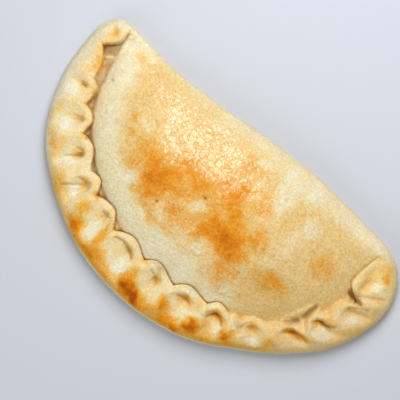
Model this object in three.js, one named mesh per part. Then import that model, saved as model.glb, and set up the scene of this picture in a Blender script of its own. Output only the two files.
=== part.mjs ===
// A baked calzone: a round of dough folded in half over its filling, with its open edge rolled up over
// itself and crimped by thumb. The crust is one closed solid: a plump belly, a thick rolled rim round three
// sides of it, and a flat base.
//
// Units are millimetres and +Z is up. The origin is at the middle of the base. +X runs along the length,
// and +Y points to the folded edge, which has no rim.
//
// The rim is measured in two ways. A station is the distance along the outline from where the rim starts,
// at the left end of the folded edge, round the crimped side to the right end. An inset is the distance in
// from the outline, towards the belly. The rim's lip is its inner edge, which stands over a groove.
import * as THREE from "three";

// ---- Belly ----
const BELLY_TOP = 37.5;
const BELLY_FOOT = 8; // height at which the belly's flank meets the rim, at the left end
const FOOT_RISE = 4.5; // how much higher that is everywhere to the right of the left end
const FOOT_RISE_X = [-85, -45];
const CORNER_RISE = 6; // how much higher that is in the corners beside the folded edge
const BELLY_CENTRE_Y = 33;
const BELLY_DEPTH = 68.5; // from the centre to the foot, across the length
const RIGHT_DEEPER = 5; // how much further that is everywhere but at the left end
const DEEPER_X = [-70, 10];
const BELLY_RIGHT = 96; // from the centre to the right end
const BELLY_LEFT = 97;
const LEFT_FLARE = 6; // how much longer the left end is beside the folded edge
const FOLD_ROUNDING = 60; // how far in from the folded edge the dough still curves over
// Share of the rise that is a steep edge above the foot, at the left end and elsewhere.
const FLANK_EDGE = { left: 0.24, right: 0.1, width: 0.07 };
const BELLY_UNEVEN = 0.9;

// ---- Outline, seen from above, anticlockwise from where the rim starts ----
const OUTLINE = [
  [-98, 58.3],
  [-111.5, 57.2],
  [-119, 46.6],
  [-119, 33],
  [-114.9, 6],
  [-100.2, -22.7],
  [-75, -44],
  [-40, -60.3],
  [0, -65.4],
  [40, -58],
  [70, -41.2],
  [95.3, -21.2],
  [112.6, 0.8],
  [120, 30.5],
  [113.2, 51],
  [100, 60.6],
  [75, 63.4],
  [35, 65.3],
  [0, 62.9],
  [-40, 57.8],
  [-72, 56.2],
];
const RIM_END_KNOT = 15; // the outline point where the rim runs out again
const OUTLINE_STEPS = 2100;
const AIM_SHARE = 0.32; // insets head for the long axis, this share of the way out from its middle

// ---- Outer wall: height of its widest line, inset at the base, and inset of the rounding above ----
const RIM_WALL = { bulge: 4.5, undercut: 3.6, shoulder: 11.5 };
const FOLD_WALL = { bulge: 10, undercut: 8, shoulder: 3 };

// ---- Rolled rim ----
const RIM_TOP = 16;
const RIM_FADE = 38; // length over which the rim's height runs out along the folded edge
const GROOVE_FLOOR = 7;
const LEDGE_FLOOR = 14.4; // the groove is only a ledge along the right end
const LEDGE_STATIONS = [225, 290, 365, 377]; // where the groove rises to the ledge, and falls again
const SEAM_START = [9, 21]; // stations over which the lip and its groove begin
const SEAM_END = [14, 4]; // how far before the rim's end they run out
// How far the lip's inner face starts behind its edge, and ends past it over the groove and over the ledge.
const LIP_FACE = { behind: 0.8, past: 1.7, pastLedge: 3.4 };
const SLOT = { depth: 1.7, width: 0.7, past: 1 }; // the narrow slot under the lip's edge
const SLOT_GAP = [263, 286, 365, 375]; // where the slot fades out, and starts again
const CREASE_ROUNDING = 1.1;

// ---- Crimps ----
const LIP_CURVE = { rising: 0.8, falling: 1.4, flap: 0.9 }; // how soon the lip comes in, and goes out again
const LIP_CROWN = { behind: 2.8, inner: 2.4 }; // distance behind the lip's edge, and half width towards it
const LIP_LENGTH = 9;
const PIT_LENGTH = { inner: 1.8, outer: 4 };
const FOLD_RISE = 1.5; // height of the folds between pits
const FOLD_WIDTH = 3.8;
const NOTCH_CREASE = { depth: 1.3, width: 0.9, length: 3.5 };
// A trough starts up to 3.5 mm past its pit. It is a sharp crease there, and rounder 12 mm further out.
const TROUGH = { past: 3.5, before: 1, sharp: 0.5, round: 3, length: 12 };

// One entry for each crimp:
// arch: the station and inset of the lip where it reaches furthest in, and of the notch that ends the crimp
// lean: how far along the rim the folds have moved when they reach the outer wall
// crown: height of the lip, and its half width outwards
// pit: station, depth, half width along the rim and distance behind the lip's edge
// trough, which runs out from the pit: depth, and half widths before and after it
const CRIMPS = [
  {
    arch: [24.5, 14.4, 34.5, 9.6],
    lean: 0,
    crown: [1.4, 6],
    pit: [22.5, 2.6, 2.6, 5],
    trough: [0.8, 4, 4],
  },
  {
    arch: [51.5, 16.7, 57.5, 17.4],
    lean: 0,
    crown: [1, 6],
    pit: [51.5, 0, 3, 6],
    trough: [0, 4, 4],
  },
  {
    arch: [65, 22.2, 77.5, 19.8],
    lean: 0,
    crown: [1.6, 4.5],
    pit: [64.5, 3.4, 1.7, 6.6],
    trough: [0.9, 4, 3],
  },
  {
    arch: [89, 25.8, 100, 21.8],
    lean: 4,
    crown: [1.5, 4.5],
    pit: [89, 3.8, 1.6, 5.6],
    trough: [2.4, 5, 2.2],
  },
  {
    arch: [111.5, 27.6, 128.5, 23.8],
    lean: 3,
    crown: [1.6, 4.5],
    pit: [114.5, 3.8, 1.5, 6.4],
    trough: [3, 6, 2.2],
  },
  {
    arch: [136.5, 27.8, 147, 22.9],
    lean: 6,
    crown: [1.8, 4.5],
    pit: [137, 3.6, 1.7, 7.4],
    trough: [3, 5.5, 2.3],
  },
  {
    arch: [161.5, 29.3, 174.5, 22.6],
    lean: 4,
    crown: [1.5, 5],
    pit: [162, 2.6, 1.6, 5.4],
    trough: [2.9, 6, 2.8],
  },
  {
    arch: [188.5, 30, 204.5, 25.6],
    lean: 7,
    crown: [2.2, 3.2],
    pit: [191.5, 2.4, 3.2, 6.4],
    trough: [3.4, 9, 3],
  },
  {
    arch: [213.5, 30.3, 232, 24.4],
    lean: -2,
    crown: [1.3, 6],
    pit: [219.5, 2.8, 1.5, 7.6],
    trough: [2.6, 5, 2.6],
  },
  {
    arch: [242, 28.8, 259.5, 23],
    lean: -4,
    crown: [2.2, 3],
    pit: [245.5, 3.8, 1.9, 6.6],
    trough: [3, 5.5, 2.6],
  },
  {
    arch: [266.5, 25.5, 278, 19.3],
    lean: -2,
    crown: [3, 2.4],
    pit: [268.5, 4.6, 2.2, 6],
    trough: [3.2, 5, 2.6],
  },
  {
    arch: [292.5, 19.6, 306.5, 14.6],
    lean: 3,
    crown: [1.8, 3],
    pit: [293.5, 2.2, 4, 4.6],
    trough: [2.6, 5, 3.4],
  },
  {
    arch: [318.5, 18.8, 330, 13.4],
    lean: 9,
    crown: [2.4, 2.6],
    pit: [320, 3.4, 3, 4.9],
    trough: [3, 5, 3],
  },
  {
    arch: [340.5, 23.8, 349.5, 17.4],
    lean: 11,
    crown: [2.4, 2.6],
    pit: [341, 3.4, 2.6, 5.6],
    trough: [3, 5, 3],
  },
  {
    arch: [361.5, 22.6, 373, 16.4],
    lean: 9,
    crown: [1.8, 3.2],
    pit: [364.5, 2.6, 2.4, 5.4],
    trough: [2.6, 5, 3],
  },
  {
    arch: [381.5, 27.4, 419.5, 4],
    lean: 0,
    crown: [1.6, 3],
    pit: [389.5, 1.2, 7, 8],
    trough: [0.8, 8, 6],
  },
];
const FIRST_NOTCH = [8, -2];

// Single creases in the dough, each a straight line seen from above. A negative depth is a raised fold.
const CREASES = [
  { from: [84.5, 11], to: [82.3, 0], depth: -1.2, width: 2 },
  { from: [82.3, 0], to: [76.5, -11], depth: -1.2, width: 2 },
  { from: [85.6, 8.5], to: [84.9, 0], depth: 2.2, width: 1.6 },
  { from: [83.2, -5], to: [79, -10.5], depth: 1.8, width: 1.6 },
  { from: [74.5, -12.5], to: [57, -25.5], depth: 1.2, width: 2.4 },
  { from: [96, 27.5], to: [104, 26.5], depth: 3.2, width: 1.7 },
  { from: [100, 30], to: [113, 36], depth: 0.9, width: 1.6 },
  { from: [101.5, 33.5], to: [108, 42], depth: -1.3, width: 2.4 },
  { from: [99.8, 33.5], to: [97.8, 45], depth: 2, width: 3 },
  { from: [3, -38], to: [7.5, -42.5], depth: 1.4, width: 1.6 },
  { from: [56.7, -26.5], to: [62, -33.5], depth: 1.3, width: 1.6 },
];

// ---- Mesh density ----
const RIM_POINTS = 214;
const FOLD_POINTS = 34;
const FOLD_INSET = 12; // inset along the folded edge of the row that follows the lip elsewhere
const WALL_ROWS = 4;
const RIM_ROWS = [0.04, 0.14, 0.27, 0.43, 0.61, 0.8, 1]; // shares of the way in to the pits
const LAST_RIM_ROW = 7; // how far behind the lip's edge the last of them is
const LIP_ROWS = [-4.8, -2.8, -1.2, 0.4, 1.7]; // from the lip's edge
const FOOT_GAP = 1.9; // least distance from the lip's edge to the next row
const FOOT_ROWS = [0, 0.4, 1]; // shares of the way on from the belly's foot
const FOOT_OVERLAP = 3; // how far up the belly those rows end
const BELLY_RINGS = [
  { share: 0.06, points: 160 },
  { share: 0.14, points: 120 },
  { share: 0.24, points: 92 },
  { share: 0.36, points: 70 },
  { share: 0.5, points: 52 },
  { share: 0.65, points: 36 },
  { share: 0.8, points: 24 },
  { share: 0.92, points: 12 },
];
const RING_CENTRE_Y = 14;
const RING_POWER = 0.85; // the rings close in across the belly sooner than along it

const clamp = THREE.MathUtils.clamp;
const mix = THREE.MathUtils.lerp;
const smooth = THREE.MathUtils.smoothstep;
const bell = (x, width) => Math.exp(-((x / width) ** 2));
const smoothMax = (a, b, rounding) => (a + b + Math.hypot(a - b, rounding)) / 2;

// How far x is inside a band: 0 outside it, and 1 between its two middle values.
function band(x, [start, full, fading, gone]) {
  return smooth(x, start, full) - smooth(x, fading, gone);
}

// Straight-line interpolation between rows of [position, value].
function lookUp(rows, position) {
  const after = rows.findIndex(([start]) => start > position);
  if (after === 0) return rows[0][1];
  if (after < 0) return rows.at(-1)[1];
  const [start, low] = rows[after - 1];
  const [end, high] = rows[after];
  return mix(low, high, (position - start) / (end - start));
}

// ---- Outline ----
const outline = new THREE.CatmullRomCurve3(
  OUTLINE.map(([x, y]) => new THREE.Vector3(x, y, 0)),
  true,
  "centripetal",
);
outline.arcLengthDivisions = OUTLINE_STEPS;
const outlineLength = outline.getLength();
const rimLength = outline.getLengths()[(RIM_END_KNOT / OUTLINE.length) * OUTLINE_STEPS];

// How much of the rim's height there is at a station: all of it on the crimped side, and none along the
// middle of the folded edge.
function rimShare(station) {
  const pastRim = Math.min(station - rimLength, outlineLength - station);
  return 1 - smooth(pastRim, 0, RIM_FADE);
}

// How much of the lip and its groove there is at a station.
function seamShare(station) {
  const [fades, gone] = SEAM_END;
  return smooth(station, ...SEAM_START) * (1 - smooth(station, rimLength - fades, rimLength - gone));
}

// ---- Belly ----
const foldLine = [...OUTLINE.slice(RIM_END_KNOT), OUTLINE[0]].reverse();

// How far out towards the belly's foot a point is: 0 at its centre and 1 at its foot.
function outwardShare(x, y) {
  const halfLength = x > 0 ? BELLY_RIGHT : BELLY_LEFT + LEFT_FLARE * smooth(y, 20, 55);
  const depth = BELLY_DEPTH + RIGHT_DEEPER * smooth(x, ...DEEPER_X);
  return Math.hypot(x / halfLength, Math.min(0, y - BELLY_CENTRE_Y) / depth);
}

function bellyHeight(x, y) {
  const depth = clamp((lookUp(foldLine, x) - y) / FOLD_ROUNDING, 0, 1);
  const overFold = Math.sqrt(1 - (1 - depth) ** 2);
  const inside = Math.max(0, 1 - outwardShare(x, y) ** 2);
  const edgeShare = mix(FLANK_EDGE.left, FLANK_EDGE.right, smooth(x, ...DEEPER_X));
  const overFlank = mix(inside, 1 - Math.exp(-inside / FLANK_EDGE.width), edgeShare);
  const lumps = Math.sin(x / 17 + 1) * Math.cos(y / 13 + 2) + Math.sin(x / 29 - y / 23 + 0.5);
  const corner = CORNER_RISE * smooth(y, 48, 58) * smooth(Math.abs(x), 70, 100);
  const foot = BELLY_FOOT + FOOT_RISE * smooth(x, ...FOOT_RISE_X) + corner;
  const rise = (BELLY_TOP - foot) / 0.96 + BELLY_UNEVEN * lumps;
  return foot + rise * overFold * overFlank;
}

// Inset of the belly's foot, found by halving the range that it must lie in.
function footInset(edge, inward) {
  let outside = 0;
  let inside = 45;
  for (let step = 0; step < 16; step++) {
    const middle = (outside + inside) / 2;
    const point = edge.clone().addScaledVector(inward, middle);
    if (outwardShare(point.x, point.y) > 1) outside = middle;
    else inside = middle;
  }
  return inside;
}

// ---- Rim ----
// Inset of the lip's edge at a station.
function lipAt(station) {
  const index = CRIMPS.findIndex(({ arch }) => station < arch[2]);
  const [crest, reach, ...lastNotch] = CRIMPS.at(index).arch;
  const firstNotch = index === 0 ? FIRST_NOTCH : CRIMPS.at(index - 1).arch.slice(2);
  const isRising = station < crest;
  const [end, notch] = isRising ? firstNotch : lastNotch;
  const along = clamp((station - end) / (crest - end), 0, 1);
  const isFlap = CRIMPS.at(index) === CRIMPS.at(-1);
  const falling = isFlap ? LIP_CURVE.flap : LIP_CURVE.falling;
  return mix(notch, reach, Math.sin((along * Math.PI) / 2) ** (isRising ? LIP_CURVE.rising : falling));
}

// Depth of a crimp's pit and trough, at a station and a distance behind the lip's edge.
function thumbMark({ pit, trough }, station, back) {
  const [pitStation, depth, half, pitBack] = pit;
  const [troughDepth, before, after] = trough;
  const along = station - pitStation;
  const length = back < pitBack ? PIT_LENGTH.inner : PIT_LENGTH.outer;
  const out = smooth(back, pitBack - TROUGH.past, pitBack + TROUGH.before);
  const rounding = mix(TROUGH.sharp, TROUGH.round, smooth(back, pitBack, pitBack + TROUGH.length));
  const aside = (Math.hypot(along, rounding) - rounding) / (along > 0 ? after : before);
  return depth * bell(along, half) * bell(back - pitBack, length) + troughDepth * Math.exp(-aside) * out;
}

// Rise of the lip's crown beside a crimp's crest.
function crownRise({ arch, crown }, station, back) {
  const [rise, half] = crown;
  const behind = back - LIP_CROWN.behind;
  return rise * bell(station - arch[0], LIP_LENGTH) * bell(behind, behind < 0 ? LIP_CROWN.inner : half);
}

// Height of the rolled rim. Past its lip it drops to the floor of the groove.
function rimHeight(station, inset, rowsEnd) {
  const lip = lipAt(station);
  const seam = seamShare(station);
  const outerShare = Math.max(0, 1 - inset / lip);
  const back = lip - inset;
  const nearWall = smooth(inset, 2, 9);
  const foldRise = FOLD_RISE * nearWall * (1 - 0.6 * smooth(-back, -6, 0));
  const notchDepth = NOTCH_CREASE.depth * bell(back, NOTCH_CREASE.length);
  let height = 0;
  let lipRise = 0;
  for (const crimp of CRIMPS) {
    const notchStation = crimp.arch[2];
    const leaned = station - crimp.lean * outerShare;
    height -= thumbMark(crimp, leaned, back) * nearWall;
    height += foldRise * bell(leaned - notchStation, FOLD_WIDTH);
    height -= notchDepth * bell(station - notchStation, NOTCH_CREASE.width);
    lipRise = Math.max(lipRise, crownRise(crimp, station, back));
  }
  const ledge = band(station, LEDGE_STATIONS);
  const face = smooth(inset, lip - LIP_FACE.behind, lip + mix(LIP_FACE.past, LIP_FACE.pastLedge, ledge));
  const floor = mix(GROOVE_FLOOR, LEDGE_FLOOR, ledge);
  height = mix(RIM_TOP + seam * (height + lipRise), floor, seam * face);
  return mix(height, GROOVE_FLOOR, smooth(inset, lip + 1.5, rowsEnd));
}

// Depth of the slot under the lip's edge.
function slotDepth(station, inset) {
  const share = seamShare(station) * (1 - band(station, SLOT_GAP));
  return share * SLOT.depth * bell(inset - lipAt(station) - SLOT.past, SLOT.width);
}

const creaseLines = CREASES.map(({ from, to, depth, width }) => ({
  line: new THREE.Line3(new THREE.Vector3(...from, 0), new THREE.Vector3(...to, 0)),
  depth,
  width,
}));

function creaseDepth(x, y) {
  const point = new THREE.Vector3(x, y, 0);
  let total = 0;
  for (const { line, depth, width } of creaseLines) {
    const nearest = line.closestPointToPoint(point, true, new THREE.Vector3());
    total += depth * bell(nearest.distanceTo(point), width);
  }
  return total;
}

// ---- Whole surface ----
const crests = CRIMPS.map(({ arch }) => arch.slice(0, 2));

// What all the points at one station share.
function sectionAt(station) {
  const edge = outline.getPointAt(station / outlineLength);
  const tangent = outline.getTangentAt(station / outlineLength);
  const aim = new THREE.Vector3(edge.x * AIM_SHARE, BELLY_CENTRE_Y, 0);
  const onRim = smooth(station, 8, 20) * (1 - smooth(station, rimLength - 10, rimLength));
  const lip = mix(FOLD_INSET, lipAt(station), onRim);
  const inward = aim.sub(edge).normalize();
  const foot = footInset(edge, inward);
  const crest = mix(FOLD_INSET, lookUp(crests, station), onRim);
  return {
    station,
    edge,
    inward,
    lip,
    foot: Math.max(foot, lip + FOOT_GAP),
    rowsEnd: Math.max(foot, crest + FOOT_GAP) + FOOT_OVERLAP,
    normal: new THREE.Vector3(-tangent.y, tangent.x, 0),
    share: rimShare(station),
  };
}

// A point of the outer wall, from the base at 0 up to the widest line at 1.
function wallPoint(section, upShare) {
  const angle = (upShare * Math.PI) / 2;
  const undercut = mix(FOLD_WALL.undercut, RIM_WALL.undercut, section.share);
  const point = section.edge.clone();
  point.addScaledVector(section.normal, undercut * (1 - Math.sin(angle)));
  point.z = mix(FOLD_WALL.bulge, RIM_WALL.bulge, section.share) * (1 - Math.cos(angle));
  return point;
}

// A point of the upper surface, from the widest line in towards the belly.
function topPoint(section, inset) {
  const point = section.edge.clone().addScaledVector(section.inward, inset);
  const bulge = mix(FOLD_WALL.bulge, RIM_WALL.bulge, section.share);
  const shoulder = mix(FOLD_WALL.shoulder, RIM_WALL.shoulder, section.share);
  const belly = bellyHeight(point.x, point.y);
  const rim = rimHeight(section.station, inset, section.rowsEnd) * section.share;
  const height = section.share > 0 ? smoothMax(belly, rim, CREASE_ROUNDING) : belly;
  const creases = creaseDepth(point.x, point.y) + slotDepth(section.station, inset);
  const rounding = Math.sqrt(1 - (1 - clamp(inset / shoulder, 0, 1)) ** 2);
  point.z = mix(bulge, height - creases, rounding);
  return point;
}

// A point of the belly inside the rim's rows, the given share of the way to its centre.
function bellyPoint(section, inShare) {
  const point = topPoint(section, section.rowsEnd);
  point.x *= (1 - inShare) ** RING_POWER;
  point.y = mix(point.y, RING_CENTRE_Y, inShare);
  point.z = bellyHeight(point.x, point.y);
  return point;
}

// ---- Mesh ----
const positions = [];
const faces = [];

function addPoint({ x, y, z }) {
  positions.push(x, y, z);
  return positions.length / 3 - 1;
}

// A ring of points, one for each section, as their stations and their vertices.
function addRing(sections, pointAt) {
  return {
    stations: [...sections.map(({ station }) => station), outlineLength],
    vertices: sections.map((section) => addPoint(pointAt(section))),
  };
}

// Closes the strip between two rings. They may have different numbers of points, so each face takes its
// third corner from whichever ring comes to its next point first.
function joinRings(outer, inner) {
  const vertexOf = ({ vertices }, index) => vertices[index % vertices.length];
  let i = 0;
  let j = 0;
  while (i < outer.vertices.length || j < inner.vertices.length) {
    const corners = [vertexOf(outer, i), vertexOf(inner, j)];
    const outerNext = outer.stations[i + 1] ?? Infinity;
    const innerNext = inner.stations[j + 1] ?? Infinity;
    if (outerNext <= innerNext) faces.push(corners[0], vertexOf(outer, ++i), corners[1]);
    else faces.push(corners[0], vertexOf(inner, ++j), corners[1]);
  }
}

// Closes a ring of vertices with a fan of faces round one point.
function closeRing(vertices, point) {
  const middle = addPoint(point);
  vertices.forEach((vertex, index) => {
    faces.push(vertex, vertices[(index + 1) % vertices.length], middle);
  });
}

// Sections round the whole outline, evenly spaced along it.
function evenSections(count) {
  return Array.from({ length: count }, (_, index) => sectionAt((index / count) * outlineLength));
}

// Sections close together along the rim, and further apart along the folded edge.
function rimSections() {
  const onRim = Array.from({ length: RIM_POINTS }, (_, index) => (index / RIM_POINTS) * rimLength);
  const onFold = Array.from({ length: FOLD_POINTS }, (_, index) =>
    mix(rimLength, outlineLength, index / FOLD_POINTS),
  );
  return [...onRim, ...onFold].map(sectionAt);
}

// Insets of the rows from the widest line to just up the belly.
function rowInsets({ lip, foot, rowsEnd }) {
  const lipEnd = lip + LIP_ROWS.at(-1);
  return [
    ...RIM_ROWS.map((share) => share * Math.max(lip - LAST_RIM_ROW, 2)),
    ...LIP_ROWS.map((offset) => lip + offset),
    (lipEnd + foot) / 2,
    ...FOOT_ROWS.map((share) => mix(foot, rowsEnd, share)),
  ];
}

function buildCrust() {
  const sections = rimSections();
  const rings = [];
  for (let row = 0; row <= WALL_ROWS; row++) {
    rings.push(addRing(sections, (section) => wallPoint(section, row / WALL_ROWS)));
  }
  rowInsets(sections[0]).forEach((_, row) => {
    rings.push(addRing(sections, (section) => topPoint(section, rowInsets(section)[row])));
  });
  for (const { share, points } of BELLY_RINGS) {
    rings.push(addRing(evenSections(points), (section) => bellyPoint(section, share)));
  }
  rings.slice(1).forEach((ring, index) => joinRings(rings[index], ring));

  const top = new THREE.Vector3(0, RING_CENTRE_Y, bellyHeight(0, RING_CENTRE_Y));
  closeRing(rings.at(-1).vertices, top);
  closeRing([...rings[0].vertices].reverse(), new THREE.Vector3(0, 0, 0));

  const geometry = new THREE.BufferGeometry();
  geometry.setAttribute("position", new THREE.Float32BufferAttribute(positions, 3));
  geometry.setIndex(faces);
  geometry.computeBoundingBox();
  const middle = geometry.boundingBox.getCenter(new THREE.Vector3());
  geometry.translate(-middle.x, -middle.y, 0);
  geometry.computeVertexNormals();
  return geometry;
}

const crust = new THREE.Mesh(
  buildCrust(),
  new THREE.MeshStandardMaterial({ color: 0xe3c48a, roughness: 0.55, metalness: 0 }),
);
crust.name = "crust";

const calzone = new THREE.Group();
calzone.add(crust);

export default calzone;
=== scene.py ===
"""The looks of a baked calzone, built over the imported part.

Every length in the shape and the browning is in millimetres, as in the part's own source, and the mesh
turns into metres when it is made. +X runs along the length, +Y points to the folded edge and +Z is up.
A station is the distance along the outline from where the rim starts. An inset is the distance in from
the outline.
"""

import math

import bpy
import numpy as np
from mathutils import Matrix, Vector


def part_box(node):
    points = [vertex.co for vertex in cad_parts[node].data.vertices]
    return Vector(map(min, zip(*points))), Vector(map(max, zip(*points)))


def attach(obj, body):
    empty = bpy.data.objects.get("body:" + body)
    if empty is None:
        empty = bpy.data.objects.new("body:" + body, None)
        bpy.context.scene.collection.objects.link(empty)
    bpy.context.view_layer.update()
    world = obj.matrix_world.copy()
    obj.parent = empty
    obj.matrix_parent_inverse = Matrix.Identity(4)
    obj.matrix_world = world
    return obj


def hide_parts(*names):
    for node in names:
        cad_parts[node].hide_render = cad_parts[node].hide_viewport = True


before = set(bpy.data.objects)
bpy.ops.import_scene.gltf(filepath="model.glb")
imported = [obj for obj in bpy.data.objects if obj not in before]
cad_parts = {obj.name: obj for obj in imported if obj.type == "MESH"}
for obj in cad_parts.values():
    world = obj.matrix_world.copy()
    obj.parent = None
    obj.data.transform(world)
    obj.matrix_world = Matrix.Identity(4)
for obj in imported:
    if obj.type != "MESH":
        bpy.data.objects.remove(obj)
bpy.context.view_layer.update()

# ---- Belly ----
BELLY_TOP = 37.5
BELLY_FOOT = 8.0
FOOT_RISE = 4.5
FOOT_RISE_FROM = (-85, -45)
CORNER_RISE = 6.0
CORNER_FROM_X = (70, 100)
CORNER_FROM_Y = (48, 58)
BELLY_CENTRE_Y = 33.0
BELLY_DEPTH = 68.5
RIGHT_DEEPER = 5.0
DEEPER_FROM = (-70, 10)
BELLY_RIGHT = 96.0
BELLY_LEFT = 97.0
LEFT_FLARE = 6.0
LEFT_FLARE_FROM = (20, 55)
FOLD_ROUNDING = 60.0
FLANK_EDGE_SHARE = (0.24, 0.10)  # at the left, and past DEEPER_FROM
FLANK_EDGE_WIDTH = 0.07
BELLY_UNEVEN = 0.9
CROWN_SHARE = 0.96  # of the full rise, which the crown reaches
FOOT_SEARCH = 45.0  # the furthest in that the belly's foot lies
FOOT_HALVINGS = 16

# ---- Outline ----
OUTLINE = np.array(
    [
        (-98, 58.3), (-111.5, 57.2), (-119, 46.6), (-119, 33), (-114.9, 6), (-100.2, -22.7),
        (-75, -44), (-40, -60.3), (0, -65.4), (40, -58), (70, -41.2), (95.3, -21.2),
        (112.6, 0.8), (120, 30.5), (113.2, 51), (100, 60.6), (75, 63.4), (35, 65.3),
        (0, 62.9), (-40, 57.8), (-72, 56.2),
    ]
)
RIM_END_KNOT = 15
OUTLINE_STEPS = 2100
AIM_SHARE = 0.32
TANGENT_REACH = 0.3

# ---- Outer wall, first for the rim and then for the folded edge ----
BULGE = (4.5, 10.0)
UNDERCUT = (3.6, 8.0)
SHOULDER = (11.5, 3.0)

# ---- Rolled rim ----
RIM_TOP = 16.0
RIM_FADE = 38.0
RIM_START = (8, 20)
RIM_LAST = 10.0
SEAM_START = (9, 21)
SEAM_LAST = (14, 4)  # distances before the rim's end
NEAR_WALL = (2, 9)
GROOVE_FLOOR = 7.0
GROOVE_FROM = 1.5  # past the lip
LEDGE_FLOOR = 14.4
LEDGE_STATIONS = (225, 290, 365, 377)
LIP_FACE = (0.8, 1.7)
LEDGE_FACE = 3.4
LIP_OVERHANG = 1.1
OVERHANG_BACK = 0.8
OVERHANG_WIDTH = 1.5
LIP_FRONT = 2.4
LIP_CREST_BACK = 0.4
LIP_LENGTH = 9.0
SLOT_DEPTH = 1.7
SLOT_AT = 1.0  # past the lip
SLOT_WIDTH = 0.7
SLOT_GAP = (263, 286, 365, 375)
LIP_CURVE = (0.8, 1.4)  # rising to the crest, and falling from it
FLAP_CURVE = 0.9
CREASE_ROUNDING = 1.1
FOLD_RISE = 1.5
FOLD_WIDTH = 3.8
FOLD_FADE = 6.0  # behind the lip, where a fold starts to sink
FOLD_FADE_SHARE = 0.6

# ---- Crimps ----
NOTCH_CREASE = 1.3
NOTCH_WIDTH = 0.9
NOTCH_LENGTH = 3.5
TROUGH_SHARPNESS = (0.4, 3.0)  # beside the pit, and out on the wall
TROUGH_SHARP_TO = (2, 14)  # distances behind the pit
TROUGH_START = (-3.5, 1)
PIT_LENGTH = (1.4, 4.0)  # towards the lip, and away from it
PIT_KEPT = 0.82  # of the solid's depth, because dough lets light into its pits
FIRST_NOTCH = (8, -2)  # station and inset
# Each crimp's stations and insets: where its lip reaches furthest in, and the notch where it ends. Then
# how far its folds lean, its lip's rise and half width, its pit's station, depth, half width and distance
# behind the lip's edge, and its trough's depth and its half widths before and after the pit.
CRIMPS = np.array(
    [
        (24.5, 14.4, 34.5, 9.6, 0, 1.4, 6, 22.5, 2.6, 2.6, 5, 0.8, 4, 4),
        (51.5, 16.7, 57.5, 17.4, 0, 1, 6, 51.5, 0, 3, 6, 0, 4, 4),
        (65, 22.2, 77.5, 19.8, 0, 1.6, 4.5, 64.5, 3.4, 1.7, 6.6, 0.9, 4, 3),
        (89, 25.8, 100, 21.8, 4, 1.5, 4.5, 89, 3.8, 1.6, 5.6, 2.4, 5, 2.2),
        (111.5, 27.6, 128.5, 23.8, 3, 1.6, 4.5, 114.5, 3.8, 1.5, 6.4, 3, 6, 2.2),
        (136.5, 27.8, 147, 22.9, 6, 1.8, 4.5, 137, 3.6, 1.7, 7.4, 3, 5.5, 2.3),
        (161.5, 29.3, 174.5, 22.6, 4, 1.5, 5, 162, 2.6, 1.6, 5.4, 2.9, 6, 2.8),
        (188.5, 30, 204.5, 25.6, 7, 2.2, 3.2, 191.5, 2.4, 3.2, 6.4, 3.4, 9, 3),
        (213.5, 30.3, 232, 24.4, -2, 1.3, 6, 219.5, 2.8, 1.5, 7.6, 2.6, 5, 2.6),
        (242, 28.8, 259.5, 23, -4, 2.2, 3, 245.5, 3.8, 1.9, 6.6, 3, 5.5, 2.6),
        (266.5, 25.5, 278, 19.3, -2, 3, 2.4, 268.5, 4.6, 2.2, 6, 3.2, 5, 2.6),
        (292.5, 19.6, 306.5, 14.6, 3, 1.8, 3, 293.5, 2.2, 4, 4.6, 2.6, 5, 3.4),
        (318.5, 18.8, 330, 13.4, 9, 2.4, 2.6, 320, 3.4, 3, 4.9, 3, 5, 3),
        (340.5, 23.8, 349.5, 17.4, 11, 2.4, 2.6, 341, 3.4, 2.6, 5.6, 3, 5, 3),
        (361.5, 22.6, 373, 16.4, 9, 1.8, 3.2, 364.5, 2.6, 2.4, 5.4, 2.6, 5, 3),
        (381.5, 27.4, 419.5, 4, 0, 1.6, 3, 389.5, 1.2, 7, 8, 0.8, 8, 6),
    ]
)

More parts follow.
